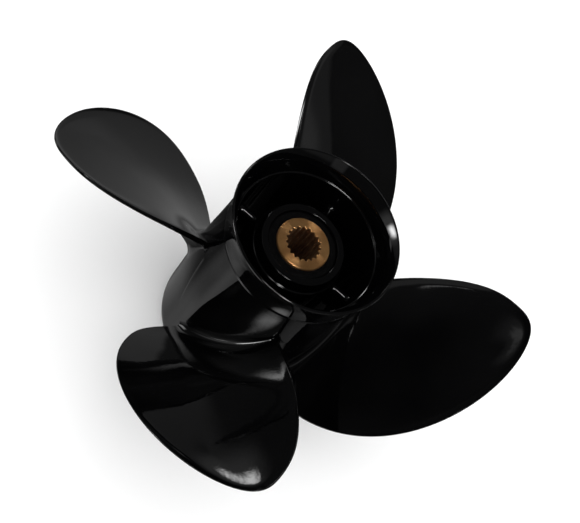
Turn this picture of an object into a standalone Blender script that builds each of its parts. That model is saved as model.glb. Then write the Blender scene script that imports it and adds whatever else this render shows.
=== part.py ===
"""Four-blade boat propeller with through-hub exhaust.

The shaft axis is +Z, with the aft end up. The origin is the centre of the fore
face of the hub, on which the propeller stands. All sizes are in metres.
"""
import math

import bmesh
import bpy
import numpy as np

# ---------------------------------------------------------------- dimensions
MM = 0.001
DEG = math.pi / 180.0

BLADES = 4
DIAMETER = 0.3556            # 14 inches over the blade tips
PITCH = 0.4826               # 19 inches, nominal
HUB_LENGTH = 0.165           # fore face to aft rim
RIM_RADIUS = 0.0604          # outside of the flared ring
CREASE_Z = 0.1375            # groove between barrel and flare
RIDGE_Z = 0.146              # where the flare's cone meets the bore
RIDGE_RADIUS = 0.0508
RIBS = 4
RIB_ANGLE = 50.0 * DEG       # first rib, counted like the blades' angles
RIB_THICKNESS = 0.0068
RIB_Z = (0.0160, 0.1280)
INNER_Z = (0.0120, 0.1406)
RUBBER_RADIUS = 0.0251
RUBBER_Z = (0.0400, 0.1390)
SLEEVE_RADIUS = 0.0193
SLEEVE_Z = (0.0280, 0.1412)
SPLINE_TEETH = 19
SPLINE_MAJOR = 0.0128        # radius at the bottom of the grooves
SPLINE_MINOR = 0.0114        # radius at the tops of the teeth
GAP = 0.0003                 # between pieces that touch
SEGMENTS = 48                # round pieces

# Outside of the barrel and of the flare, from the fore end: height, radius.
BARREL_OUT = ((0.000, 0.0520), (0.0015, 0.0535), (0.005, 0.0548), (0.012, 0.0556),
              (0.030, 0.0561), (0.055, 0.0569), (0.080, 0.0571), (0.107, 0.0563),
              (0.125, 0.0559), (0.1370, 0.0557))
BARREL_IN = ((0.000, 0.0470), (0.012, 0.0482), (0.045, 0.0495), (0.1370, 0.0505))
FLARE_OUT = ((0.1376, 0.0557), (0.147, 0.0562), (0.154, 0.0571), (0.160, 0.0585),
             (0.1635, 0.0600), (0.1645, 0.0604), (0.165, 0.0601))
FLARE_IN = ((0.1376, 0.0505), (0.1445, 0.0506), (0.146, 0.0508), (0.150, 0.0529),
            (0.156, 0.0553), (0.161, 0.0573), (0.1644, 0.0584), (0.165, 0.0588))
INNER_OUT = ((0.012, 0.0325), (0.016, 0.0336), (0.1305, 0.0336), (0.1325, 0.0330),
             (0.1392, 0.0305), (0.1406, 0.0297))

# Blade outline: control points of a cubic curve that starts at the root of the
# leading edge, runs round the tip and ends at the root of the trailing edge.
# Each row is radius in mm, angle in degrees and height in mm.
OUTLINE = ((53.0, 24.0, 37.0), (76.0, 15.0, 29.5), (105.5, 21.5, 50.0),
           (138.5, 33.0, 79.5), (169.5, 55.5, 123.0), (183.0, 73.0, 150.5),
           (166.5, 77.3, 150.3), (131.0, 83.7, 146.4), (70.5, 83.2, 118.7),
           (52.0, 77.2, 102.7))
# How far aft the last part of the face curls at its trailing edge: radius, mm.
CURL = ((50.0, 7.0), (57.0, 6.0), (60.0, 5.0), (65.0, 3.5), (70.0, 2.3), (80.0, 0.5),
        (90.0, -0.4), (100.0, -0.8), (110.0, -0.6), (130.0, 0.3), (150.0, 0.8),
        (165.0, 0.2), (178.0, 0.0))
CURL_ANGLE = 28.0            # degrees of the face that it takes
# Blade sections: radius, greatest thickness and trailing-edge thickness in mm.
SECTIONS = ((50.0, 13.0, 4.2), (60.0, 12.0, 4.0), (80.0, 10.0, 3.5), (110.0, 7.6, 2.7),
            (140.0, 5.4, 2.3), (165.0, 3.6, 2.0), (178.0, 2.6, 1.6))
FILLET = 0.006               # blade root into barrel


# ------------------------------------------------------------------- helpers
def spline_curve(points, count):
    """Points along a clamped uniform cubic B-spline."""
    pts = np.array(points, float)
    n = len(pts)
    knots = np.r_[[0.0] * 3, np.linspace(0.0, 1.0, n - 2), [1.0] * 3]
    out = []
    for t in np.linspace(0.0, 1.0, count):
        k = int(np.clip(np.searchsorted(knots, t, side="right") - 1, 3, n - 1))
        d = [pts[k - 3 + j].copy() for j in range(4)]
        for level in range(1, 4):
            for j in range(3, level - 1, -1):
                i = k - 3 + j
                span = knots[i + 4 - level] - knots[i]
                a = 0.0 if span == 0 else (t - knots[i]) / span
                d[j] = (1 - a) * d[j - 1] + a * d[j]
        out.append(d[3])
    return np.array(out)


def smooth_profile(points, x):
    """Monotone cubic interpolation through (x, y) points."""
    px, py = np.array(points, float).T
    h = np.diff(px)
    s = np.diff(py) / h
    m = np.zeros(len(px))
    for i in range(1, len(px) - 1):
        if s[i - 1] * s[i] > 0:
            w1, w2 = 2 * h[i] + h[i - 1], h[i] + 2 * h[i - 1]
            m[i] = (w1 + w2) / (w1 / s[i - 1] + w2 / s[i])
    m[0], m[-1] = s[0], s[-1]
    x = np.clip(x, px[0], px[-1])
    k = np.clip(np.searchsorted(px, x, side="right") - 1, 0, len(px) - 2)
    u = (x - px[k]) / h[k]
    return ((1 + 2 * u) * (1 - u) ** 2 * py[k] + u * (1 - u) ** 2 * h[k] * m[k]
            + u * u * (3 - 2 * u) * py[k + 1] + u * u * (u - 1) * h[k] * m[k + 1])


def material(name, colour, metallic, roughness):
    mat = bpy.data.materials.new(name)
    mat.use_nodes = True
    shader = mat.node_tree.nodes["Principled BSDF"]
    shader.inputs["Base Color"].default_value = (*colour, 1.0)
    shader.inputs["Metallic"].default_value = metallic
    shader.inputs["Roughness"].default_value = roughness
    mat.diffuse_color = (*colour, 1.0)
    return mat


def mesh_object(name, bm, mat):
    bmesh.ops.recalc_face_normals(bm, faces=bm.faces)
    mesh = bpy.data.meshes.new(name)
    bm.to_mesh(mesh)
    bm.free()
    mesh.shade_smooth()
    mesh.set_sharp_from_angle(angle=30 * DEG)
    obj = bpy.data.objects.new(name, mesh)
    bpy.context.scene.collection.objects.link(obj)
    obj.parent = propeller
    if mat is not None:
        mesh.materials.append(mat)
    return obj


def lathe(name, outline, mat, segments=SEGMENTS):
    """Turn a closed outline of (height, radius) points about +Z."""
    bm = bmesh.new()
    rings = []
    for i in range(segments):
        a = 2 * math.pi * i / segments
        rings.append([bm.verts.new((r * math.cos(a), r * math.sin(a), z))
                      for z, r in outline])
    n = len(outline)
    for i in range(segments):
        p, q = rings[i], rings[(i + 1) % segments]
        for j in range(n):
            k = (j + 1) % n
            bm.faces.new((p[j], p[k], q[k], q[j]))
    return mesh_object(name, bm, mat)


def cutter(obj):
    obj.hide_render = True
    obj.display_type = "WIRE"
    return obj


def cut(obj, tool):
    mod = obj.modifiers.new("Cut", "BOOLEAN")
    mod.operation = "DIFFERENCE"
    mod.object = tool


# --------------------------------------------------------------------- blade
def blade_edges():
    """Leading edge and trailing edge as tables over the radius."""
    curve = spline_curve(OUTLINE, 400)
    top = int(curve[:, 0].argmax())
    lead, trail = curve[:top + 1], curve[top:][::-1]
    scale = DIAMETER / 2 / MM / curve[top, 0]
    return lead * (scale, 1, 1), trail * (scale, 1, 1)


def blade_section(r, xs, lead, trail):
    """Face and back of the blade at radius r (mm): points from leading to
    trailing edge as (radius, angle, height) in metres and radians."""
    th0, z0 = (np.interp(r, lead[:, 0], lead[:, i]) for i in (1, 2))
    th1, z1 = (np.interp(r, trail[:, 0], trail[:, i]) for i in (1, 2))
    t_max = smooth_profile([(a, b) for a, b, _ in SECTIONS], r)
    t_end = smooth_profile([(a, c) for a, _, c in SECTIONS], r)
    phi = math.atan2(PITCH / MM / (2 * math.pi), r)
    root = np.clip((r - 56.0) / (FILLET / MM), 0.0, 1.0)
    flare = FILLET / MM * (1 - math.sqrt(1 - (1 - root) ** 2))
    span = np.clip((DIAMETER / 2 / MM - r) / 60.0, 0.0, 1.0)
    th = (th0 + (th1 - th0) * xs) * DEG
    curl = smooth_profile(CURL, r)
    bend = np.clip(1 - (1 - xs) * (th1 - th0) / CURL_ANGLE, 0.0, 1.0) ** 2
    z = z0 + (z1 - curl - z0) * xs + curl * bend
    # camber of the face, and the light cup along the trailing edge
    hollow = 1.4 * 4 * xs * (1 - xs) * span + 1.2 * np.minimum(xs / 0.88, (1 - xs) / 0.12) * (0.4 + 0.6 * span)
    nose = np.sqrt(np.clip(xs / 0.03, 0, 1))
    thick = ((t_max - t_end) * np.clip(4 * xs * (1 - xs), 0, 1) ** 0.8 + t_end * (0.25 + 0.75 * xs)) * nose
    face = -hollow * nose + flare * nose
    back = -hollow * nose - thick - flare * nose
    out = []
    for d in (face, back):
        out.append(np.c_[np.full_like(xs, r) * MM,
                         th - d * math.sin(phi) / r,
                         (z + d * math.cos(phi)) * MM])
    return out


def blade_mesh(name, turn, mat, radii, xs):
    lead, trail = blade_edges()
    bm = bmesh.new()
    rows = []
    for r in radii:
        face, back = blade_section(r, xs, lead, trail)
        loop = np.r_[face, back[::-1][:-1]]
        rows.append([bm.verts.new((p[0] * math.cos(p[1] + turn), p[0] * math.sin(p[1] + turn), p[2]))
                     for p in loop])
    n = len(rows[0])
    for a, b in zip(rows, rows[1:]):
        for i in range(n):
            k = (i + 1) % n
            bm.faces.new((a[i], a[k], b[k], b[i]))
    bm.faces.new(rows[0])
    bm.faces.new(rows[-1][::-1])
    bmesh.ops.triangulate(bm, faces=bm.faces)
    return mesh_object(name, bm, mat)


# --------------------------------------------------------------------- build
for old in list(bpy.data.objects):
    bpy.data.objects.remove(old)

propeller = bpy.data.objects.new("propeller", None)
bpy.context.scene.collection.objects.link(propeller)

black = material("gloss_black_paint", (0.012, 0.012, 0.013), 0.0, 0.12)
rubber = material("black_rubber", (0.018, 0.018, 0.018), 0.0, 0.75)
brass = material("machined_brass", (0.55, 0.36, 0.14), 1.0, 0.35)

# The barrel and the flared ring of the exhaust outlet.
lathe("hub_barrel", BARREL_OUT + BARREL_IN[::-1], black)
lathe("exhaust_flare", FLARE_OUT + FLARE_IN[::-1], black)

# The inner hub, which holds the rubber.
inner_bore = RUBBER_RADIUS + GAP
lathe("inner_hub", INNER_OUT + ((INNER_Z[1], inner_bore + 0.0006), (INNER_Z[1] - 0.001, inner_bore),
                                (INNER_Z[0] + 0.001, inner_bore), (INNER_Z[0], inner_bore + 0.001)), black)

# Ribs from the inner hub to the barrel, fitted to both round walls.
room = lathe("rib_room", ((0.0, 0.0336 + GAP), (0.20, 0.0336 + GAP), (0.20, 0.0800), (0.0, 0.0800)), None)
cutter(room)
shell = lathe("rib_limit", tuple((z, r - GAP) for z, r in BARREL_IN[::-1] + ((-0.01, 0.0470),))
              + ((-0.01, 0.0200), (0.1370, 0.0200)), None)
cutter(shell)
for k in range(RIBS):
    a = RIB_ANGLE + 2 * math.pi * k / RIBS
    bm = bmesh.new()
    bmesh.ops.create_cube(bm, size=1.0)
    bmesh.ops.scale(bm, vec=(0.030, RIB_THICKNESS, RIB_Z[1] - RIB_Z[0]), verts=bm.verts)
    bmesh.ops.translate(bm, vec=(0.0415, 0.0, sum(RIB_Z) / 2), verts=bm.verts)
    ends = [e for e in bm.edges if abs(e.verts[0].co.z - e.verts[1].co.z) < 1e-6
            and abs(e.verts[0].co.y - e.verts[1].co.y) < 1e-6]
    bmesh.ops.bevel(bm, geom=ends, offset=0.0022, segments=2, profile=0.5, affect="EDGES")
    rib = mesh_object("rib_%d" % (k + 1), bm, black)
    rib.rotation_euler = (0, 0, a)
    for tool in (room, shell):
        mod = rib.modifiers.new("Fit", "BOOLEAN")
        mod.operation = "INTERSECT"
        mod.object = tool

# The blades. Each is cut to the outside of the barrel, 0.3 mm clear of it.
core = lathe("barrel_core", tuple((z, r + GAP) for z, r in BARREL_OUT) + ((0.150, 0.0557 + GAP), (0.150, 0.030), (0.0, 0.030)), None)
cutter(core)
RADII = [51.0, 55.0, 56.6, 58.0, 60.0, 63.0, 70.0, 80.0, 92.0, 105.0, 118.0, 131.0, 143.0,
         153.0, 161.0, 167.5, 172.3, 175.3, 177.0, 177.65]
CHORD = np.array([0.0, 0.008, 0.03, 0.09, 0.18, 0.30, 0.43, 0.57, 0.70, 0.81, 0.88, 0.94, 1.0])
for k in range(BLADES):
    turn = -k * 2 * math.pi / BLADES + math.pi / 2
    blade = blade_mesh("blade_%d" % (k + 1), turn, black, RADII, CHORD)
    cut(blade, core)

# The rubber bush, bonded to the sleeve and pressed into the inner hub.
lathe("rubber_bush", ((RUBBER_Z[0], SLEEVE_RADIUS + GAP), (RUBBER_Z[0], RUBBER_RADIUS - 0.001),
                      (RUBBER_Z[0] + 0.001, RUBBER_RADIUS), (RUBBER_Z[1] - 0.001, RUBBER_RADIUS),
                      (RUBBER_Z[1], RUBBER_RADIUS - 0.001), (RUBBER_Z[1], SLEEVE_RADIUS + GAP)), rubber)

# The brass sleeve with its spline: each tooth is four points of the bore.
bm = bmesh.new()
outer_count = SPLINE_TEETH * 4
levels = ((SLEEVE_Z[0], -0.0008), (SLEEVE_Z[0] + 0.0008, 0.0),
          (SLEEVE_Z[1] - 0.0008, 0.0), (SLEEVE_Z[1], -0.0008))
step = 2 * math.pi / SPLINE_TEETH
tooth = ((-0.32, SPLINE_MINOR), (-0.18, SPLINE_MAJOR), (0.18, SPLINE_MAJOR), (0.32, SPLINE_MINOR))
outer = [[bm.verts.new(((SLEEVE_RADIUS + d) * math.cos(a), (SLEEVE_RADIUS + d) * math.sin(a), z))
          for a in [step * (i + f) for i in range(SPLINE_TEETH) for f, _ in tooth]] for z, d in levels]
inner = [[bm.verts.new((r * math.cos(a), r * math.sin(a), z))
          for a, r in [(step * (i + f), r) for i in range(SPLINE_TEETH) for f, r in tooth]]
         for z in SLEEVE_Z]
for i in range(outer_count):
    k = (i + 1) % outer_count
    for a, b in zip(outer, outer[1:]):
        bm.faces.new((a[i], a[k], b[k], b[i]))
    bm.faces.new((inner[0][i], inner[1][i], inner[1][k], inner[0][k]))
    bm.faces.new((outer[0][i], inner[0][i], inner[0][k], outer[0][k]))
    bm.faces.new((outer[-1][i], outer[-1][k], inner[1][k], inner[1][i]))
mesh_object("splined_sleeve", bm, brass)
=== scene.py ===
"""Looks of the four-blade boat propeller: one fused gloss-black casting, the rubber
bush and the splined brass sleeve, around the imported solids. +Z is aft."""
import math

import bmesh
import bpy
import numpy as np
from mathutils import Matrix, Vector
from mathutils.geometry import delaunay_2d_cdt


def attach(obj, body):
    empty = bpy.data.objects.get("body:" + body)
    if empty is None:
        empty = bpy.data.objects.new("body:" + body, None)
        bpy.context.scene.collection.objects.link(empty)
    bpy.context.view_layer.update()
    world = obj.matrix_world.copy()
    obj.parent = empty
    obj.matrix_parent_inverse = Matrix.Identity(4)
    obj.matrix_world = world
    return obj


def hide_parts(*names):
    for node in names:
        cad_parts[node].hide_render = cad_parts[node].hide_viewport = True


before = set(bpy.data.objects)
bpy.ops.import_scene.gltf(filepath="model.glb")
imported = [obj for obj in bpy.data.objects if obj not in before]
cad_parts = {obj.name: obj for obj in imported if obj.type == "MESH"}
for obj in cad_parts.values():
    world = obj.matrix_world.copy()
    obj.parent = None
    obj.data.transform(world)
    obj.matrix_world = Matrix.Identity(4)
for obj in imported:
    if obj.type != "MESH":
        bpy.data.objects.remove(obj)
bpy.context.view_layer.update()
scene = bpy.context.scene

# ================================================================= camera
# Stands off the aft end, about 55 degrees above the plane of the blades, rolled.
CAMERA_AT = Vector((-0.31385, -0.31587, 0.75201))
CAMERA_RIGHT = Vector((0.90960, -0.09018, 0.40558))
CAMERA_AHEAD = Vector((0.40558, 0.40459, -0.81964))
ahead = CAMERA_AHEAD.normalized()
right = (CAMERA_RIGHT - ahead * CAMERA_RIGHT.dot(ahead)).normalized()
up = right.cross(ahead)
data = bpy.data.cameras.new("camera")
data.sensor_fit = "HORIZONTAL"
data.sensor_width = 36.0
data.lens = 70.14
data.clip_start, data.clip_end = 0.05, 20.0
camera = bpy.data.objects.new("camera", data)
scene.collection.objects.link(camera)
camera.matrix_world = Matrix.Translation(CAMERA_AT) @ Matrix((right, up, -ahead)).transposed().to_4x4()
scene.camera = camera

# ================================================================= design, in mm and degrees
TURN = math.pi / 180.0
BLADES = 4
TIP = 177.8
PITCH = 482.6
OUTLINE = ((53.0, 24.0, 37.0), (76.0, 15.0, 29.5), (105.5, 21.5, 50.0),
           (138.5, 33.0, 79.5), (169.5, 55.5, 123.0), (183.0, 73.0, 150.5),
           (166.5, 77.3, 150.3), (131.0, 83.7, 146.4), (70.5, 83.2, 118.7),
           (52.0, 77.2, 102.7))
# the working face at each radius: angle and height of its middle, and its slope in mm a degree
MID = ((54.0, 48.1, 63.6, 1.13), (57.0, 48.3, 65.5, 1.16), (60.0, 48.45, 67.3, 1.19), (65.0, 48.7, 70.0, 1.233),
       (70.0, 48.9, 72.7, 1.27), (80.0, 49.5, 77.9, 1.324), (95.0, 51.0, 86.3, 1.37), (110.0, 53.1, 95.2, 1.38),
       (125.0, 55.5, 104.65, 1.367), (140.0, 58.5, 114.7, 1.345), (155.0, 62.3, 125.8, 1.326),
       (168.0, 66.5, 136.55, 1.322), (177.8, 70.25, 145.1, 1.33))
# how far aft the last third of the face curls at its trailing edge
CURL = ((50.0, 7.0), (57.0, 6.0), (60.0, 5.0), (65.0, 3.5), (70.0, 2.3), (80.0, 0.5), (90.0, -0.4), (100.0, -0.8),
        (110.0, -0.6), (130.0, 0.3), (150.0, 0.8), (165.0, 0.2), (178.0, 0.0))
THICKEST = ((50.0, 13.0), (60.0, 12.0), (80.0, 10.0), (110.0, 7.6), (140.0, 5.4), (165.0, 3.6), (178.0, 2.6))
TRAIL_THICK = ((50.0, 4.2), (60.0, 4.0), (80.0, 3.5), (104.0, 2.7), (130.0, 2.4), (165.0, 2.0), (178.0, 1.6))
LEAD_THICK = ((50.0, 2.6), (110.0, 2.2), (178.0, 1.6))
BARREL = ((12.0, 55.6), (30.0, 56.1), (55.0, 56.9), (80.0, 57.1), (107.0, 56.3), (125.0, 55.9), (137.0, 55.7))
BORE = ((0.8, 47.4), (12.0, 48.2), (45.0, 49.5), (90.0, 50.1), (145.2, 50.6))
FORE_RADIUS = 52.0
FLAT = 56.5 * TURN            # degrees to mm on the barrel
ROOT_RADIUS = 64.5            # first whole row of the blade, above the fillet
HUB_RADIUS = 33.6             # inner hub
HUB_Z = (13.6, 130.3)         # its plain cylinder
RIBS = 4
RIB_ANGLE = 50.0
RIB_HALF = 3.4
RIB_Z = (16.4, 127.4)
STEP = 90.0 / 48              # angle between the columns of the skins
SECTOR = -1.0                 # where one quarter of the casting starts
PARTING_Z = 101.5             # the parting line leaves the trailing edge here
PARTING_LEAN = 9 * STEP / (PARTING_Z - 12.0)


def cubic(points):
    """Natural cubic spline through (x, y) points."""
    x, y = np.array(points, float).T
    n, h = len(x), np.diff(x)
    a, b = np.eye(n), np.zeros(n)
    for i in range(1, n - 1):
        a[i, i - 1:i + 2] = h[i - 1], 2 * (h[i - 1] + h[i]), h[i]
        b[i] = 6 * ((y[i + 1] - y[i]) / h[i] - (y[i] - y[i - 1]) / h[i - 1])
    m = np.linalg.solve(a, b)

    def at(t):
        t = np.clip(np.asarray(t, float), x[0], x[-1])
        k = np.clip(np.searchsorted(x, t, side="right") - 1, 0, n - 2)
        u, v, w = t - x[k], x[k + 1] - t, h[k]
        return ((m[k] * v ** 3 + m[k + 1] * u ** 3) / (6 * w)
                + (y[k] / w - m[k] * w / 6) * v + (y[k + 1] / w - m[k + 1] * w / 6) * u)
    return at


def spline_curve(points, count):
    """Points along a clamped uniform cubic B-spline."""
    pts = np.array(points, float)
    n = len(pts)
    knots = np.r_[[0.0] * 3, np.linspace(0.0, 1.0, n - 2), [1.0] * 3]
    out = []
    for t in np.linspace(0.0, 1.0, count):
        k = int(np.clip(np.searchsorted(knots, t, side="right") - 1, 3, n - 1))
        d = [pts[k - 3 + j].copy() for j in range(4)]
        for level in range(1, 4):
            for j in range(3, level - 1, -1):
                i = k - 3 + j
                span = knots[i + 4 - level] - knots[i]
                a = 0.0 if span == 0 else (t - knots[i]) / span
                d[j] = (1 - a) * d[j - 1] + a * d[j]
        out.append(d[3])
    return np.array(out)


def smooth(x):
    x = np.clip(x, 0.0, 1.0)
    return x * x * (3 - 2 * x)


def to_xyz(p):
    """(radius, degrees, height) rows to x, y, z, all in mm."""
    return np.stack([p[..., 0] * np.cos(p[..., 1] * TURN), p[..., 0] * np.sin(p[..., 1] * TURN), p[..., 2]], -1)


# ---------------------------------------------------------------- the barrel's outer and inner walls
barrel_curve, bore_curve = cubic(BARREL), cubic(BORE)


def parting(z):
    """Angle of the mould's parting line at height z."""
    return SECTOR + PARTING_LEAN * np.clip(PARTING_Z - np.asarray(z, float), 0.0, None)


def barrel_plain(z):
    z = np.asarray(z, float)
    nose = np.sqrt(np.clip(1 - (1 - np.clip(z / 12.0, 0, 1)) ** 2, 0, 1))
    return np.where(z < 12.0, FORE_RADIUS + (55.6 - FORE_RADIUS) * nose, barrel_curve(z))


def barrel_radius(a, z):
    """Outside of the barrel with the low seam on each parting line."""
    a, z = np.asarray(a, float), np.asarray(z, float)
    off = (a - parting(z) + 45.0) % 90.0 - 45.0
    across = off * FLAT
    seam = 0.24 * np.exp(-(across / 0.55) ** 2) * smooth((z - 40.0) / 25.0) * smooth((103.5 - z) / 4.0)
    return barrel_plain(z) + seam


def bore_radius(a, z):
    return bore_curve(z) + 0 * np.asarray(a, float)


def hub_radius(a, z):
    return HUB_RADIUS + 0 * (np.asarray(a, float) + np.asarray(z, float))


# ---------------------------------------------------------------- blade as functions
curve = spline_curve(OUTLINE, 4001)
top = int(curve[:, 0].argmax())
curve[:, 0] *= TIP / curve[top, 0]
lead, trail = curve[:top + 1], curve[top:][::-1]
lead_angle = lambda r: np.interp(r, lead[:, 0], lead[:, 1])
trail_angle = lambda r: np.interp(r, trail[:, 0], trail[:, 1])
middle_angle, middle_height, face_slope = (cubic([(row[0], row[i]) for row in MID]) for i in (1, 2, 3))
curl = cubic(CURL)
thickest, trail_thick, lead_thick = cubic(THICKEST), cubic(TRAIL_THICK), cubic(LEAD_THICK)


def face_height(r, a):
    """Height of the blade's working face at radius r (mm) and angle a (degrees)."""
    aft_third = np.clip((a - trail_angle(r)) / 28.0 + 1.0, 0.0, 1.0) ** 2
    return middle_height(r) + face_slope(r) * (a - middle_angle(r)) + curl(r) * aft_third


def off_face(r, a, d):
    """The point a distance d aft of the working face, square to the helix."""
    phi = np.arctan2(PITCH / (2 * math.pi), r)
    return np.stack([r + 0 * a, a - d * np.sin(phi) / r / TURN, face_height(r, a) + d * np.cos(phi)], -1)


EDGE = 6                      # arc points at each corner of the edge
INSIDE = np.array([0, .010, .022, .036, .052, .070, .092, .12, .155, .20, .26, .33, .41, .50, .60, .71, .83, 1.0])


def blade_row(r_edge, r_mid):
    """One closed row of the blade: it starts at the leading edge's face side, runs over the face
    to the trailing edge, round it, and back over the suction side."""
    a_mid = (lead_angle(r_mid) + trail_angle(r_mid)) / 2
    span = np.clip((TIP - r_edge) / (TIP - 56.0), 0.0, 1.0)
    camber = 1.3 * smooth(span * 1.6)
    cup_trail = 1.5 * smooth((r_edge - 60.0) / 80.0)
    cup_tip = 1.5 * smooth((r_edge - 120.0) / 57.0)
    halves = []
    for corner_of, a_edge, t_edge, cup in (
            ("lead", lead_angle(r_edge), lead_thick(r_edge), cup_tip),
            ("trail", trail_angle(r_edge), trail_thick(r_edge), cup_trail)):
        corner = 0.47
        if corner_of == "trail":      # squared off, with small round corners, full round at the tip
            corner = 0.16 + 0.31 * smooth((r_edge - 150.0) / 27.0)
        rho = corner * t_edge
        steps = np.linspace(0, 1, 9)[1:]
        p0 = off_face(np.array(r_edge), np.array(a_edge), 0.0)
        rr = r_edge + (r_mid - r_edge) * steps
        aa = a_edge + (a_mid - a_edge) * steps
        xyz = to_xyz(np.stack([rr, aa, face_height(rr, aa)], -1))
        first = np.array([r_edge * math.cos(a_edge * TURN), r_edge * math.sin(a_edge * TURN), p0[2]])
        length = np.linalg.norm(np.diff(np.r_[[first], xyz], axis=0), axis=1).sum()
        d = rho + (length - rho) * INSIDE
        g = d / length
        r, a = r_edge + (r_mid - r_edge) * g, a_edge + (a_mid - a_edge) * g
        grown = (d - rho) / (length - rho)
        swell = (1 - (1 - grown) ** 2) ** 0.85
        if corner_of == "trail":      # near the root it thickens late, and leaves a plain plate at the edge
            late = 1.0 - smooth((r_edge - 62.0) / 45.0)
            swell = swell * (1 - late) + smooth(grown) * late
        thick = t_edge + (np.maximum(thickest(r), t_edge) - t_edge) * swell
        cup_depth = cup * (1 - np.clip(1 - d / 6.0, 0, 1) ** 2)
        spine_depth = 0.5 * (cup_trail + cup_tip) * 0.6 + camber
        depth = cup_depth * (1 - smooth(g)) + spine_depth * smooth(g)
        depth = depth - depth[0] * (1 - g) ** 8
        face = off_face(r, a, -depth)
        back = off_face(r, a, -depth - thick)
        ang = np.linspace(0, math.pi / 2, EDGE)
        dd = np.r_[rho * (1 - np.sin(ang)), rho * (1 - np.sin(ang))[::-1]][1:-1]
        oo = np.r_[-rho * (1 - np.cos(ang)), -(t_edge - rho * (1 - np.cos(ang)))[::-1]][1:-1]
        dd, oo = np.insert(dd, EDGE - 1, 0.0), np.insert(oo, EDGE - 1, -t_edge / 2)
        rim = off_face(r_edge + (r_mid - r_edge) * dd / length, a_edge + (a_mid - a_edge) * dd / length, oo)
        halves.append((face, back, rim))
    (lf, lb, le), (tf, tb, te) = halves
    return np.r_[lf, tf[::-1][1:], te, tb, lb[::-1][1:], le[::-1]], (len(lf), len(te))


ROWS = 84
edge_radii = ROOT_RADIUS + (TIP - ROOT_RADIUS) * np.sin(np.linspace(0, math.pi / 2, ROWS + 1))
spine_end = TIP - 24.0


def spine_radius(r_edge):
    return ROOT_RADIUS + (spine_end - ROOT_RADIUS) * (r_edge - ROOT_RADIUS) / (TIP - ROOT_RADIUS)


rows = []
for r in edge_radii:
    row, (n_half, n_edge) = blade_row(r, spine_radius(r))
    rows.append(row)
rows = np.array(rows)
columns = rows.shape[1]
n_face = 2 * n_half - 1

# where each column of the blade meets the barrel, and the fillet between them
inner_radii = np.linspace(ROOT_RADIUS, 54.5, 31)
inner = np.array([blade_row(r, r)[0] for r in inner_radii])
gap = inner[:, :, 0] - barrel_plain(inner[:, :, 2])
meet, meet_at = np.zeros((columns, 3)), np.zeros(columns)
for c in range(columns):
    k = int(np.argmax(gap[:, c] <= 0))
    f = gap[k - 1, c] / (gap[k - 1, c] - gap[k, c])
    meet[c] = inner[k - 1, c] * (1 - f) + inner[k, c] * f
    meet_at[c] = k - 1 + f


def outward(loop):
    """Unit normals of a closed 2-D loop, pointing out of it."""
    along = np.roll(loop, -1, 0) - np.roll(loop, 1, 0)
    n = np.c_[along[:, 1], -along[:, 0]]
    n /= np.linalg.norm(n, axis=1)[:, None]
    for _ in range(2):
        n = np.roll(n, 1, 0) + 2 * n + np.roll(n, -1, 0)
        n /= np.linalg.norm(n, axis=1)[:, None]
    turn = np.sum(loop[:, 0] * np.roll(loop[:, 1], -1) - np.roll(loop[:, 0], -1) * loop[:, 1])
    return n if turn > 0 else -n


flat = np.c_[meet[:, 1] * FLAT, meet[:, 2]]
normal = outward(flat)
walk = np.r_[0, np.cumsum(np.linalg.norm(np.diff(np.r_[flat, flat[:1]], axis=0), axis=1))]
round_trip, walk = walk[-1], walk[:-1]


def from_column(c):
    d = np.abs(walk - walk[c])
    return np.minimum(d, round_trip - d)


trail_gap = from_column(n_face + n_edge // 2)
lead_gap = from_column(columns - 1 - n_edge // 2)
on_face = np.arange(columns) < n_face + n_edge // 2
width = np.where(on_face, 7.5 - 5.3 * (1 - smooth((trail_gap - 1.0) / 40.0)), 7.0 - 5.7 * (1 - smooth((trail_gap - 6.0) / 46.0)))
width -= 3.0 * (1 - smooth((lead_gap - 1.0) / 12.0))
foot = flat + width[:, None] * normal
# under the trailing edge the fillet runs out into a pointed tail, which ends at the parting line
TAIL = np.array([88.3 * FLAT, 101.8])
tail = np.exp(-(trail_gap / 2.4) ** 2)[:, None]
foot = foot + (TAIL - foot) * tail
knee_flat = flat + (TAIL - flat) * tail * 0.45
foot_a, foot_z = foot[:, 0] / FLAT, foot[:, 1]
print("blade foot: angle %.1f to %.1f, height %.1f to %.1f" % (foot_a.min(), foot_a.max(), foot_z.min(), foot_z.max()))
FILLET_ROWS, LOWER_ROWS = 9, 4
spacing = (inner_radii[0] - inner_radii[-1]) / (len(inner_radii) - 1)
start_at = np.clip(meet_at - np.maximum(width * 1.05, 4.4 * tail[:, 0]) / spacing, 0.0, None)


def on_column(at):
    """Blade points at the given fractional places down the inner rows."""
    k = np.minimum(at.astype(int), len(inner_radii) - 2)
    f = (at - k)[:, None]
    i = np.arange(columns)
    return to_xyz(inner[k, i]) * (1 - f) + to_xyz(inner[k + 1, i]) * f


end = to_xyz(np.c_[barrel_radius(foot_a, foot_z), foot_a, foot_z])
lift = (foot[:, 0] - knee_flat[:, 0]) ** 2 / (2 * 56.5)
knee = to_xyz(np.c_[meet[:, 0] + lift, knee_flat[:, 0] / FLAT, knee_flat[:, 1]])
start = on_column(start_at)
fillet = [(1 - t) ** 2 * end + 2 * t * (1 - t) * knee + t * t * start for t in np.linspace(0, 1, FILLET_ROWS + 1)]
lower = [on_column(start_at * (1 - t)) for t in np.linspace(0, 1, LOWER_ROWS + 1)[1:-1]]
blade_grid = np.concatenate([np.array(fillet), np.array(lower), to_xyz(rows)])


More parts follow.
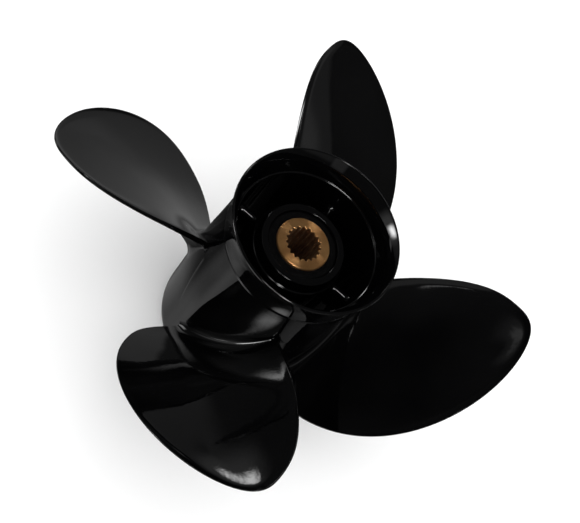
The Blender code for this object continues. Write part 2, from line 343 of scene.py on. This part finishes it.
# ---------------------------------------------------------------- round skins with openings for blades and ribs
def inside(loop, p):
    """Which of the points p lie inside a closed 2-D loop."""
    a, b = loop[None], np.roll(loop, -1, 0)[None]
    x, y = p[:, :1], p[:, 1:]
    cross = (a[..., 1] > y) != (b[..., 1] > y)
    with np.errstate(divide="ignore", invalid="ignore"):
        xi = a[..., 0] + (y - a[..., 1]) * (b[..., 0] - a[..., 0]) / (b[..., 1] - a[..., 1])
    return (cross & (x < xi)).sum(1) % 2 == 1


def distance(path, p, closed=True):
    """Distance of the points p from a 2-D path."""
    a = path if closed else path[:-1]
    b = np.roll(path, -1, 0) if closed else path[1:]
    ab, ap = (b - a)[None], p[:, None] - a[None]
    t = np.clip((ap * ab).sum(2) / ((ab ** 2).sum(2) + 1e-12), 0, 1)
    return np.sqrt(((ap - t[..., None] * ab) ** 2).sum(2)).min(1)


def skin(side, heights, hole, scale, extra=()):
    """Triangles of one quarter of a round skin, unrolled to (scale * degrees, height). Its two sides
    follow side(z) and side(z) + 90, and hole is the opening in it."""
    z = np.asarray(heights, float)
    start = side(z) * scale
    n = int(round(90.0 / STEP))
    across = np.arange(n + 1) * STEP * scale
    border = np.r_[np.c_[start[0] + across, np.full(n + 1, z[0])],
                   np.c_[start[1:-1] + across[-1], z[1:-1]],
                   np.c_[start[-1] + across[::-1], np.full(n + 1, z[-1])],
                   np.c_[start[1:-1], z[1:-1]][::-1]]
    grid = np.array([(start[j] + x, z[j]) for j in range(1, len(z) - 1) for x in across[1:-1]])
    if len(extra):
        near = np.array([(start[j] + x, z[j]) for j in range(1, len(z) - 1) for e in extra for x in (e, across[-1] - e)])
        keep = (np.abs(grid[:, 0] - np.interp(grid[:, 1], z, start)) > max(extra) + 0.5)
        keep &= (np.abs(grid[:, 0] - np.interp(grid[:, 1], z, start) - across[-1]) > max(extra) + 0.5)
        grid = np.r_[grid[keep], near]
    grid = grid[~inside(hole, grid) & (distance(hole, grid) > 0.75)]
    # the triangulation works in single precision, so the tests below use the same points
    border, hole, grid = (p.astype(np.float32).astype(float) for p in (border, hole, grid))
    points = np.r_[border, hole, grid]
    nb, nh = len(border), len(hole)
    edges = [(i, (i + 1) % nb) for i in range(nb)] + [(nb + i, nb + (i + 1) % nh) for i in range(nh)]
    made, _, triangles, _, _, _ = delaunay_2d_cdt([Vector(p) for p in points], edges, [], 0, 1e-7)
    made = np.array([tuple(v) for v in made])
    centre = np.array([made[list(t)].mean(0) for t in triangles])
    keep = inside(border, centre) & ~inside(hole, centre)
    return np.c_[made[:, 0] / scale, made[:, 1]], [t for t, k in zip(triangles, keep) if k]


Z0, Z1 = 12.0, 136.6
heights = np.r_[np.linspace(Z0, 88.0, 40), np.linspace(88.0, 108.0, 21)[1:], np.linspace(108.0, Z1, 15)[1:]]
barrel_pts, barrel_tris = skin(parting, heights, foot, FLAT, (0.35, 0.7, 1.1, 1.6))
barrel_skin = np.c_[barrel_radius(*barrel_pts.T), barrel_pts]

# ---------------------------------------------------------------- ribs between the inner hub and the barrel
arc_n, side_n = 9, 22
loop = []
for sign, z_end in ((1, RIB_Z[1] - RIB_HALF), (-1, RIB_Z[0] + RIB_HALF)):
    for i in range(arc_n + 1):
        t = math.pi * i / arc_n
        loop.append((sign * RIB_HALF * math.cos(t), z_end + sign * RIB_HALF * math.sin(t)))
    for i in range(1, side_n):
        z = z_end + (RIB_Z[0] + RIB_Z[1] - 2 * z_end) * i / side_n
        loop.append((-sign * RIB_HALF, z))
loop = np.array(loop)
# a little thicker towards the fore end, as the core's draft leaves it
loop[:, 0] *= 1.0 + 0.10 * (RIB_Z[1] - loop[:, 1]) / (RIB_Z[1] - RIB_Z[0])
rib_normal = outward(loop)


def rib_width(base, at_end):
    """Fillet width round the rib: base along its sides, at_end at its two ends."""
    e = np.abs(rib_normal[:, 1]) ** 1.5
    return base * (1 - e) + at_end * e


def rib_foot(radius, w):
    """Outer edge of the fillet, on the wall of the given radius, unrolled."""
    s = radius * np.arcsin(loop[:, 0] / radius)
    return np.c_[s + w * rib_normal[:, 0], loop[:, 1] + w * rib_normal[:, 1]]


w_in, w_out = rib_width(3.6, 2.2), rib_width(5.0, 5.5)
hub_foot = rib_foot(HUB_RADIUS, w_in)
bore_scale = 50.0 * TURN
bore_foot = rib_foot(50.0, w_out)
HUB_SCALE = HUB_RADIUS * TURN


def straight(z):
    return SECTOR + 0 * np.asarray(z, float)


bore_heights = np.r_[np.linspace(0.9, 118.0, 30), np.linspace(118.0, 145.2, 10)[1:]]
bore_pts, bore_tris = skin(straight, bore_heights, bore_foot + (RIB_ANGLE * bore_scale, 0), bore_scale)
bore_skin = np.c_[bore_radius(*bore_pts.T), bore_pts]
hub_heights = np.linspace(HUB_Z[0], HUB_Z[1], 30)
hub_pts, hub_tris = skin(straight, hub_heights, hub_foot + (RIB_ANGLE * HUB_SCALE, 0), HUB_SCALE)
hub_skin = np.c_[hub_radius(*hub_pts.T), hub_pts]

# the rib itself, along +X, as rows from the inner hub out to the bore
y, z = loop.T
hub_x = np.sqrt(HUB_RADIUS ** 2 - y ** 2)
bore_x = np.sqrt(bore_curve(z) ** 2 - y ** 2)
rib_rows = []
a_foot = hub_foot[:, 0] / HUB_RADIUS
p_end = np.c_[HUB_RADIUS * np.cos(a_foot), HUB_RADIUS * np.sin(a_foot), hub_foot[:, 1]]
p_knee = np.c_[hub_x + (w_in * rib_normal[:, 0]) ** 2 / (2 * HUB_RADIUS), y, z]
p_start = np.c_[hub_x + w_in, y, z]
rib_rows += [(1 - t) ** 2 * p_end + 2 * t * (1 - t) * p_knee + t * t * p_start for t in np.linspace(0, 1, 7)]
q_start = np.c_[bore_x - w_out, y, z]
rib_rows += [p_start * (1 - t) + q_start * t for t in (0.33, 0.67)]
a_foot = bore_foot[:, 0] / 50.0
r_foot = bore_curve(bore_foot[:, 1])
q_end = np.c_[r_foot * np.cos(a_foot), r_foot * np.sin(a_foot), bore_foot[:, 1]]
q_knee = np.c_[bore_x, y, z]
rib_rows += [(1 - t) ** 2 * q_start + 2 * t * (1 - t) * q_knee + t * t * q_end for t in np.linspace(0, 1, 9)]
rib_rows = np.array(rib_rows)


# ---------------------------------------------------------------- the turned rest of the casting
def arc(cz, cr, rz, rr, a0, a1, n):
    t = np.linspace(a0, a1, n) * TURN
    return [(cz + rz * math.cos(v), cr + rr * math.sin(v)) for v in t]


flare_out = cubic(((138.4, 55.75), (143.0, 55.95), (149.0, 56.45), (155.0, 57.4), (160.0, 58.8), (163.55, 60.3)))


def flare_in(z):
    """Inside of the flare: a cone, a short bend and then the opening curve of the lip."""
    past = np.clip(z - 157.1, 0.0, None)
    bend = np.where(past < 0.8, past ** 3 / 0.8 ** 2 - past ** 4 / (2 * 0.8 ** 3), past - 0.4)
    return 51.95 + 0.232 * (z - 147.4) + 0.27 * bend + 0.0128 * past ** 2


aft = [(z, float(barrel_plain(z))) for z in (136.6, 137.0)]
aft += [(137.3, 55.55), (137.6, 55.36), (137.9, 55.36), (138.15, 55.58)]
aft += [(z, float(flare_out(z))) for z in np.linspace(138.4, 163.4, 22)]
aft += arc(163.72, 59.1, 1.28, 1.28, 108, 4, 13) + [(164.98, 58.97), (164.93, 58.85), (164.82, 58.74)]
aft += [(z, float(flare_in(z))) for z in np.r_[np.linspace(164.6, 158.3, 9), np.linspace(157.95, 157.0, 6), np.linspace(156.2, 147.4, 11)]]
# the ledge that the flare rises from, and its rounded edge over the bore
aft += [(146.9, 51.83), (146.62, 51.68), (146.48, 51.46), (146.4, 51.2), (146.28, 50.96), (146.08, 50.78), (145.8, 50.66), (145.5, 50.61), (145.2, 50.6)]
fore = [(0.9, float(bore_curve(0.9))), (0.4, 47.55), (0.1, 47.9), (0.0, 48.4), (0.0, 50.0), (0.0, 51.6)]
fore += [(12.0 * (1 - math.cos(v)), FORE_RADIUS + (55.6 - FORE_RADIUS) * math.sin(v)) for v in np.linspace(0.06, math.pi / 2, 12)]
# inner hub: fore end, then the aft end's cone and face, then its bore
HUB_BORE = 25.4
hub_fore = [(20.0, HUB_BORE), (13.2, HUB_BORE), (12.3, 25.9), (12.0, 26.6), (12.0, 29.5), (12.0, 31.8)]
hub_fore += arc(13.6, 32.0, -1.6, 1.6, 8, 90, 8)
hub_aft = [(130.3, HUB_RADIUS), (130.9, 33.58)] + arc(131.1, 32.5, 1.08, 1.08, 84, 22, 8)
hub_aft += [(132.25, 32.55), (132.42, 32.2), (132.7, 31.92), (133.1, 31.75), (133.8, 31.6)]
hub_aft += [(z, 31.6 - (z - 133.8) * 0.2) for z in np.linspace(134.6, 139.2, 5)]
hub_aft += arc(140.05, 29.85, 0.55, 0.55, 78, 8, 7)
hub_aft += [(140.6, 28.8), (140.6, 27.8), (140.6, 26.0), (140.57, 25.85), (140.48, 25.7), (140.3, 25.58), (139.5, 25.5)]
hub_aft += [(138.6, HUB_BORE)] + [(z, HUB_BORE) for z in np.linspace(130.0, 20.0, 8)]

# ---------------------------------------------------------------- build the casting
bm = bmesh.new()


def put(p):
    return bm.verts.new((p[0] / 1000, p[1] / 1000, p[2] / 1000))


def turned(p, degrees):
    c, s = math.cos(degrees * TURN), math.sin(degrees * TURN)
    return (p[0] * c - p[1] * s, p[0] * s + p[1] * c, p[2])


def add_skin(points, triangles, degrees):
    verts = [put(turned(p, degrees)) for p in to_xyz(points)]
    for t in triangles:
        bm.faces.new([verts[i] for i in t])


def add_turned(profile):
    angles = [(SECTOR + STEP * i) * TURN for i in range(4 * int(round(90.0 / STEP)))]
    rings = [[put((r * math.cos(a), r * math.sin(a), z)) for a in angles] for z, r in profile]
    for p, q in zip(rings, rings[1:]):
        for i in range(len(angles)):
            j = (i + 1) % len(angles)
            bm.faces.new((p[i], q[i], q[j], p[j]))


last = len(blade_grid) - 1
half = n_half
for k in range(BLADES):
    degrees = 90.0 - 90.0 * k
    grid = [[None] * columns for _ in blade_grid]
    for j, row in enumerate(blade_grid):
        for c in range(columns):
            if j == last and c >= half:
                continue
            grid[j][c] = put(turned(row[c], degrees))
    # at the tip the leading and trailing halves of the row are one line
    for c in range(half, n_face):
        grid[last][c] = grid[last][n_face - 1 - c]
    back_start = n_face + n_edge
    tip_back = [put(turned(blade_grid[last][back_start + i], degrees)) for i in range(half)]
    for i in range(half):
        grid[last][back_start + i] = tip_back[i]
        grid[last][back_start + 2 * half - 2 - i] = tip_back[i]
    tip_edge = [put(turned(blade_grid[last][n_face + i], degrees)) for i in range(n_edge)]
    for i in range(n_edge):
        grid[last][n_face + i] = tip_edge[i]
        grid[last][columns - 1 - i] = tip_edge[i]
    for j in range(last):
        for c in range(columns):
            d = (c + 1) % columns
            quad = [grid[j][c], grid[j][d], grid[j + 1][d], grid[j + 1][c]]
            quad = [v for i, v in enumerate(quad) if v not in quad[:i]]
            if len(quad) > 2:
                bm.faces.new(quad)
    add_skin(barrel_skin, barrel_tris, degrees)
    add_skin(bore_skin, bore_tris, degrees)
    add_skin(hub_skin, hub_tris, degrees)
    rib = [[put(turned(p, degrees + RIB_ANGLE)) for p in row] for row in rib_rows]
    n = len(loop)
    for p, q in zip(rib, rib[1:]):
        for i in range(n):
            bm.faces.new((p[i], p[(i + 1) % n], q[(i + 1) % n], q[i]))
for profile in (aft, fore, hub_fore, hub_aft):
    add_turned(profile)
bmesh.ops.remove_doubles(bm, verts=bm.verts, dist=3e-6)
bmesh.ops.recalc_face_normals(bm, faces=bm.faces)
open_edges = [e for e in bm.edges if not e.is_manifold]
print("casting: verts %d faces %d triangles %d open %d volume %.1f cm3" % (
    len(bm.verts), len(bm.faces), sum(len(f.verts) - 2 for f in bm.faces), len(open_edges), bm.calc_volume() * 1e6))
for e in open_edges[:12]:
    p = (e.verts[0].co + e.verts[1].co) * 500
    print("   open edge at r %.3f a %.2f z %.3f faces %d" % (math.hypot(p.x, p.y), math.degrees(math.atan2(p.y, p.x)), p.z, len(e.link_faces)))
mesh = bpy.data.meshes.new("propeller_casting")
bm.to_mesh(mesh)
bm.free()
mesh.shade_smooth()

# the round skins' normals, from their own equations and not from the triangles
co = np.empty(len(mesh.vertices) * 3)
mesh.vertices.foreach_get("co", co)
co = co.reshape(-1, 3) * 1000
radius, angle, height = np.hypot(co[:, 0], co[:, 1]), np.degrees(np.arctan2(co[:, 1], co[:, 0])), co[:, 2]
normals = np.array([tuple(v.vector) for v in mesh.vertex_normals])
for wall, z_from, z_to, sign in ((barrel_radius, Z0, Z1, 1), (bore_radius, 0.9, 145.2, -1), (hub_radius, HUB_Z[0] + 0.1, HUB_Z[1] - 0.1, 1)):
    on = (np.abs(radius - wall(angle, height)) < 0.004) & (height > z_from - 0.01) & (height < z_to + 0.01)
    a, z = angle[on], height[on]
    by_a = (wall(a + 0.02, z) - wall(a - 0.02, z)) / (0.04 * TURN) / radius[on]
    by_z = (wall(a, z + 0.02) - wall(a, z - 0.02)) / 0.04
    c, s = np.cos(a * TURN), np.sin(a * TURN)
    n = np.stack([c + s * by_a, s - c * by_a, -by_z], -1) * sign
    normals[on] = n / np.linalg.norm(n, axis=1)[:, None]
mesh.normals_split_custom_set_from_vertices([tuple(n) for n in normals])
casting = bpy.data.objects.new("propeller_casting", mesh)
scene.collection.objects.link(casting)


# ================================================================= rubber bush
def turned_piece(name, profile, segments):
    """A closed profile of (height, radius) in mm turned about +Z."""
    bm = bmesh.new()
    rings = [[bm.verts.new((r / 1000 * math.cos(2 * math.pi * i / segments), r / 1000 * math.sin(2 * math.pi * i / segments), z / 1000))
              for i in range(segments)] for z, r in profile]
    for p, q in zip(rings, rings[1:] + rings[:1]):
        for i in range(segments):
            bm.faces.new((p[i], q[i], q[(i + 1) % segments], p[(i + 1) % segments]))
    bmesh.ops.recalc_face_normals(bm, faces=bm.faces)
    mesh = bpy.data.meshes.new(name)
    bm.to_mesh(mesh)
    bm.free()
    mesh.shade_smooth()
    obj = bpy.data.objects.new(name, mesh)
    scene.collection.objects.link(obj)
    return obj


end_face = ((0.00, 19.36), (0.25, 19.44), (0.34, 19.62), (0.30, 19.85), (0.05, 20.15), (-0.05, 20.5), (0.10, 21.2),
            (0.22, 22.2), (0.22, 23.2), (0.08, 24.2), (-0.15, 24.8), (-0.45, 25.2), (-0.9, 25.36))
profile = [(138.9 + d, r) for d, r in end_face]
profile += [(z, 25.36) for z in (137.0, 120.0, 100.0, 80.0, 60.0, 42.0)]
profile += [(40.1 - d, r) for d, r in end_face[::-1]]
profile += [(z, 19.36) for z in (60.0, 90.0, 120.0)]
rubber_bush = turned_piece("drive_bush", profile, 160)

# ================================================================= splined sleeve
TEETH, MAJOR, MINOR, SLEEVE = 19, 12.85, 11.35, 19.3
PER_TOOTH = 16
count = TEETH * PER_TOOTH


def spline_radius(t, shrink=0.0):
    """Radius of the bore at the fraction t of one tooth: rounded groove, flanks, rounded crest."""
    x = abs((t % 1.0) - 0.5) * 2            # 0 on the crest, 1 in the groove
    wave = 0.5 - 0.5 * math.cos(math.pi * min(max((x - 0.16) / 0.68, 0.0), 1.0))
    return MINOR + (MAJOR - MINOR) * (0.65 * min(max((x - 0.16) / 0.68, 0.0), 1.0) + 0.35 * wave) + shrink


def sleeve_level(z, outer=None, t=0.0, open_by=0.0):
    """A ring of the sleeve: t = 0 on the spline and 1 on the outer circle."""
    ring = []
    for i in range(count):
        a = 2 * math.pi * (i + 0.37 * PER_TOOTH) / count
        inner_r = spline_radius(i / PER_TOOTH, open_by)
        r = inner_r * (1 - t) + (outer or SLEEVE) * t
        ring.append((r * math.cos(a), r * math.sin(a), z))
    return ring


LOW, HIGH = 28.0, 141.2
rings = []
rings += [sleeve_level(HIGH - 0.45, open_by=0.0), sleeve_level(HIGH - 0.22, open_by=0.12), sleeve_level(HIGH - 0.06, open_by=0.32), sleeve_level(HIGH, open_by=0.52)]
rings += [sleeve_level(HIGH, 18.6, t, 0.52) for t in (0.12, 0.3, 0.5, 0.7, 0.86, 0.95)]
rings += [sleeve_level(HIGH - 0.02, 18.72, 1), sleeve_level(HIGH - 0.2, 18.95, 1), sleeve_level(HIGH - 0.42, 19.17, 1), sleeve_level(HIGH - 0.62, 19.28, 1), sleeve_level(HIGH - 0.9, 19.3, 1)]
rings += [sleeve_level(z, 19.3, 1) for z in (130.0, 100.0, 70.0, 45.0, 30.0)]
rings += [sleeve_level(LOW + 0.9, 19.3, 1), sleeve_level(LOW + 0.3, 19.1, 1), sleeve_level(LOW, 18.6, 1)]
rings += [sleeve_level(LOW, 18.6, t, 0.52) for t in (0.86, 0.6, 0.3)]
rings += [sleeve_level(LOW, open_by=0.52), sleeve_level(LOW + 0.2, open_by=0.15), sleeve_level(LOW + 0.45)]
rings += [sleeve_level(z) for z in np.linspace(40.0, 130.0, 7)]
bm = bmesh.new()
made = [[put(p) for p in ring] for ring in rings]
for p, q in zip(made, made[1:] + made[:1]):
    for i in range(count):
        j = (i + 1) % count
        bm.faces.new((p[i], p[j], q[j], q[i]))
bmesh.ops.recalc_face_normals(bm, faces=bm.faces)
mesh = bpy.data.meshes.new("splined_bush_sleeve")
bm.to_mesh(mesh)
bm.free()
mesh.shade_smooth()
mesh.set_sharp_from_angle(angle=34 * TURN)
sleeve = bpy.data.objects.new("brass_sleeve", mesh)
scene.collection.objects.link(sleeve)


# ================================================================= materials
def new_material(name):
    mat = bpy.data.materials.new(name)
    mat.use_nodes = True
    tree = mat.node_tree
    shader = tree.nodes["Principled BSDF"]
    return mat, tree, shader


def node(tree, kind, **values):
    n = tree.nodes.new(kind)
    for key, value in values.items():
        if hasattr(n, key):
            setattr(n, key, value)
        else:
            n.inputs[key.replace("_", " ")].default_value = value
    return n


def noise(tree, coords, scale, detail=2.0, rough=0.5, stretch=None):
    n = node(tree, "ShaderNodeTexNoise", Scale=scale, Detail=detail, Roughness=rough)
    source = coords
    if stretch is not None:
        m = node(tree, "ShaderNodeMapping")
        m.inputs["Scale"].default_value = stretch
        tree.links.new(coords, m.inputs["Vector"])
        source = m.outputs["Vector"]
    tree.links.new(source, n.inputs["Vector"])
    return n.outputs["Fac"]


def spread(tree, value, low, high, frm=(0.3, 0.7)):
    m = node(tree, "ShaderNodeMapRange")
    m.inputs["From Min"].default_value, m.inputs["From Max"].default_value = frm
    m.inputs["To Min"].default_value, m.inputs["To Max"].default_value = low, high
    tree.links.new(value, m.inputs["Value"])
    return m.outputs["Result"]


def blend_colours(tree, value, stops):
    r = node(tree, "ShaderNodeValToRGB")
    ramp = r.color_ramp
    while len(ramp.elements) < len(stops):
        ramp.elements.new(0.5)
    for e, (at, colour) in zip(ramp.elements, stops):
        e.position, e.color = at, (*colour, 1)
    tree.links.new(value, r.inputs["Fac"])
    return r.outputs["Color"]


def bump(tree, shader, height, strength, distance, normal=None):
    b = node(tree, "ShaderNodeBump")
    b.inputs["Strength"].default_value, b.inputs["Distance"].default_value = strength, distance
    tree.links.new(height, b.inputs["Height"])
    if normal is not None:
        tree.links.new(normal, b.inputs["Normal"])
    return b.outputs["Normal"]


# gloss black paint over a casting: very dark, a faint orange peel, its gloss a little uneven at random
paint, tree, shader = new_material("gloss_black_paint")
coords = node(tree, "ShaderNodeTexCoord").outputs["Object"]
shader.inputs["Specular IOR Level"].default_value = 0.5
tree.links.new(blend_colours(tree, noise(tree, coords, 22.0, 3.0), ((0.3, (0.0004, 0.0004, 0.0005)), (0.7, (0.0008, 0.0008, 0.0009)))), shader.inputs["Base Color"])
tree.links.new(spread(tree, noise(tree, coords, 45.0, 3.0), 0.022, 0.05), shader.inputs["Roughness"])
peel = noise(tree, coords, 330.0, 1.0)
swell = noise(tree, coords, 38.0, 1.0)
n1 = bump(tree, shader, swell, 0.10, 0.0012)
n2 = bump(tree, shader, peel, 0.10, 0.00012, n1)
tree.links.new(n2, shader.inputs["Normal"])
casting.data.materials.append(paint)

# the bush's moulded rubber: matt, faintly mottled
rubber, tree, shader = new_material("black_rubber")
coords = node(tree, "ShaderNodeTexCoord").outputs["Object"]
tree.links.new(blend_colours(tree, noise(tree, coords, 160.0, 3.0), ((0.3, (0.0008, 0.0008, 0.0009)), (0.7, (0.0018, 0.0017, 0.0018)))), shader.inputs["Base Color"])
shader.inputs["Specular IOR Level"].default_value = 0.04
tree.links.new(spread(tree, noise(tree, coords, 90.0, 2.0), 0.60, 0.78), shader.inputs["Roughness"])
tree.links.new(bump(tree, shader, noise(tree, coords, 900.0, 2.0), 0.25, 0.0001), shader.inputs["Normal"])
rubber_bush.data.materials.append(rubber)

# machined brass: turning marks round the axis, darker down the bore as painted shade: the bore's brass is a shaded copy
# of the face's
brass, tree, shader = new_material("machined_brass")
coords = node(tree, "ShaderNodeTexCoord").outputs["Object"]
shader.inputs["Metallic"].default_value = 1.0
apart = node(tree, "ShaderNodeSeparateXYZ")
tree.links.new(coords, apart.inputs["Vector"])
square = []
for axis in ("X", "Y"):
    m = node(tree, "ShaderNodeMath", operation="MULTIPLY")
    tree.links.new(apart.outputs[axis], m.inputs[0])
    tree.links.new(apart.outputs[axis], m.inputs[1])
    square.append(m.outputs[0])
total = node(tree, "ShaderNodeMath", operation="ADD")
tree.links.new(square[0], total.inputs[0])
tree.links.new(square[1], total.inputs[1])
away = node(tree, "ShaderNodeMath", operation="SQRT")
tree.links.new(total.outputs[0], away.inputs[0])
ring_coords = node(tree, "ShaderNodeCombineXYZ")
tree.links.new(away.outputs[0], ring_coords.inputs["X"])
tree.links.new(apart.outputs["Z"], ring_coords.inputs["Y"])
marks = noise(tree, ring_coords.outputs["Vector"], 2600.0, 3.0)
tarnish = noise(tree, coords, 130.0, 3.0)
# painted shade: the brass goes from the bright end face to a darker, shaded copy down in the bore
painted_bore_shade = node(tree, "ShaderNodeMapRange")
painted_bore_shade.inputs["From Min"].default_value, painted_bore_shade.inputs["From Max"].default_value = 0.1395, 0.1412
tree.links.new(apart.outputs["Z"], painted_bore_shade.inputs["Value"])
mix = node(tree, "ShaderNodeMix", data_type="RGBA")
tree.links.new(painted_bore_shade.outputs["Result"], mix.inputs["Factor"])
# the darker copy is the painted shade of the bore, the brighter one the end face
tree.links.new(blend_colours(tree, tarnish, ((0.3, (0.22, 0.115, 0.06)), (0.7, (0.33, 0.19, 0.10)))), mix.inputs["A"])
tree.links.new(blend_colours(tree, tarnish, ((0.3, (0.68, 0.34, 0.125)), (0.7, (0.86, 0.475, 0.19)))), mix.inputs["B"])
tree.links.new(mix.outputs["Result"], shader.inputs["Base Color"])
shader.inputs["Anisotropic"].default_value = 0.88
shader.inputs["Anisotropic Rotation"].default_value = 0.25
around = node(tree, "ShaderNodeTangent", direction_type="RADIAL", axis="Z")
tree.links.new(around.outputs["Tangent"], shader.inputs["Tangent"])
tree.links.new(spread(tree, marks, 0.30, 0.42), shader.inputs["Roughness"])
tree.links.new(bump(tree, shader, marks, 0.35, 0.00004), shader.inputs["Normal"])
sleeve.data.materials.append(brass)

# ================================================================= which piece stands for which solid
for piece, slot, nodes in (
        (casting, "casting", ["hub_barrel", "exhaust_flare", "inner_hub"] + ["rib_%d" % (i + 1) for i in range(4)] + ["blade_%d" % (i + 1) for i in range(4)]),
        (rubber_bush, "rubber", ["rubber_bush"]), (sleeve, "brass", ["splined_sleeve"])):
    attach(piece, "root")
    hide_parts(*nodes)

# ================================================================= stage
bm = bmesh.new()
bmesh.ops.create_grid(bm, x_segments=1, y_segments=1, size=6.0)
mesh = bpy.data.meshes.new("floor")
bm.to_mesh(mesh)
bm.free()
floor = bpy.data.objects.new("floor", mesh)
floor.location = (0, 0, -0.0005)
floor.visible_glossy = False
scene.collection.objects.link(floor)
white, tree, shader = new_material("floor")
coords = node(tree, "ShaderNodeTexCoord").outputs["Object"]
tree.links.new(blend_colours(tree, noise(tree, coords, 3.0, 2.0), ((0.3, (0.90, 0.90, 0.90)), (0.7, (0.92, 0.92, 0.92)))), shader.inputs["Base Color"])
shader.inputs["Roughness"].default_value = 0.9
floor.data.materials.append(white)

# The studio: white all round for the floor and the camera, and for the gloss a dark room with a
# pale table, a few screens and lamps. Each row is a patch of light: azimuth and elevation of
# its middle, its half width and half height, the softness of its borders sideways and up and down,
# how many degrees its middle rises for each degree of azimuth, and how much light it adds.
DARK_ROOM = 0.045
PATCHES = (
    (163, 9, 6, 3, 4, 4, 0, 22.0),             # lamp, low at the left
    (92.5, 27.5, 1.2, 1.2, 1, 1, 0, 9.0),      # small lamps, far right
    (90, 37, 4, 4, 2.5, 2.5, 0, 11.0),
    (-102, 56, 6, 11, 4, 4, 0, 18.0),          # long lamp over the near side
    (-113, 79, 28, 3, 9, 3, 0, 18.0),          # and its head, nearly overhead
    (-141, 72, 4, 1.2, 2, 1, 0, 0.4),
    (168, 4, 16, 13, 8, 6, 0, 0.6),            # wall behind the first lamp
    (145, 10, 12, 8, 8, 6, 0, 0.12),
    (-170, -8, 8, 9, 5, 5, 0, 0.5),
    (91, 25, 4, 4, 4, 4, 0, 0.3),
    (-141, 71, 10, 3, 6, 3, 0, 0.12),
    (-168, 42, 34, 16, 10, 8, 0, -0.03),       # the dark side of the ceiling
    (-60, 46, 60, 22, 16, 12, 0, 0.03),
    (-150, -44, 32, 14, 8, 8, 0, 0.42),        # table
    (-178, -63, 14, 6, 10, 5, 0, 0.16),
    (165, -52, 18, 12, 12, 8, 0, 0.17),
    (125, -68, 50, 9, 12, 5, 0, 0.18),
    (85, -60, 40, 3, 10, 3, 0, 0.05),
    (-50, -60, 16, 8, 7, 4, 0, 0.07),
    (-90, -8, 30, 8, 6, 3, 0, 0.20),           # low walls on the near side
    (-75, -22, 15, 8, 5, 4, 0, 0.18),
    (-43, -10, 17, 6, 5, 4, 0, 0.10),
    (-102, 20, 8, 16, 2, 4, 0, 0.23),
    (-76, 14, 18, 5, 6, 3, 0, 0.12),
    (-8, 2, 14, 20, 3, 2, 0.7, 0.10),          # screens on the far side
    (0, 6, 6, 6, 4, 4, 0, 0.10),
    (40, -14, 17, 24, 3, 3, 0, 0.16),
    (36, -30, 9, 12, 6, 8, 0, 0.11),
    (50, -18, 7, 26, 4, 4, 0, 0.06),
    (66, -12, 11, 10, 1, 6, 0, 0.15),
    (73, 14, 16, 13, 3, 2, 0, 0.09),
    (124, 20, 3, 3, 3, 3, 0, 0.5),
    (-150, -25, 12, 13, 5, 5, 0, 2.6),         # tall soft boxes round the table
    (-105, -25, 10, 13, 5, 5, 0, 2.2),
    (122, -24, 10, 12, 5, 5, 0, 1.7),
    (118, 61, 32, 6, 12, 6, 0, 0.3))
world = bpy.data.worlds.new("world")
world.use_nodes = True
tree = world.node_tree
tree.nodes.clear()
way = node(tree, "ShaderNodeTexCoord").outputs["Generated"]


def math_node(operation, *values):
    m = node(tree, "ShaderNodeMath", operation=operation)
    for i, v in enumerate(values):
        if isinstance(v, (int, float)):
            m.inputs[i].default_value = v
        else:
            tree.links.new(v, m.inputs[i])
    return m.outputs[0]


def step(value, low, high):
    """0 at low and 1 at high, with a soft start and end; low may be the greater one."""
    m = node(tree, "ShaderNodeMapRange", interpolation_type="SMOOTHSTEP")
    m.inputs["From Min"].default_value, m.inputs["From Max"].default_value = low, high
    tree.links.new(value, m.inputs["Value"])
    return m.outputs["Result"]


apart = node(tree, "ShaderNodeSeparateXYZ")
tree.links.new(way, apart.inputs["Vector"])
azimuth = math_node("MULTIPLY", math_node("ARCTAN2", apart.outputs["Y"], apart.outputs["X"]), 1 / TURN)
elevation = math_node("MULTIPLY", math_node("ARCSINE", apart.outputs["Z"]), 1 / TURN)
light = None
for az, el, half_az, half_el, soft_az, soft_el, lean, strength in PATCHES:
    aside = math_node("WRAP", math_node("SUBTRACT", azimuth, az), 180.0, -180.0)
    above = math_node("SUBTRACT", elevation, el)
    if lean:
        above = math_node("SUBTRACT", above, math_node("MULTIPLY", aside, lean))
    across = step(math_node("ABSOLUTE", aside), half_az + soft_az, half_az - soft_az)
    updown = step(math_node("ABSOLUTE", above), half_el + soft_el, half_el - soft_el)
    patch = math_node("MULTIPLY", math_node("MULTIPLY", across, updown), strength)
    light = math_node("ADD", patch, light if light is not None else DARK_ROOM)
light = math_node("MAXIMUM", light, 0.0)
studio = node(tree, "ShaderNodeBackground")
studio.inputs["Color"].default_value = (1, 1, 1, 1)
tree.links.new(light, studio.inputs["Strength"])
plain = node(tree, "ShaderNodeBackground")
plain.inputs["Color"].default_value = (1, 1, 1, 1)
plain.inputs["Strength"].default_value = 1.5
path = node(tree, "ShaderNodeLightPath")
choose = node(tree, "ShaderNodeMixShader")
tree.links.new(path.outputs["Is Glossy Ray"], choose.inputs["Fac"])
tree.links.new(plain.outputs["Background"], choose.inputs[1])
tree.links.new(studio.outputs["Background"], choose.inputs[2])
out = node(tree, "ShaderNodeOutputWorld")
tree.links.new(choose.outputs["Shader"], out.inputs["Surface"])
scene.world = world
scene.view_settings.view_transform = "Standard"
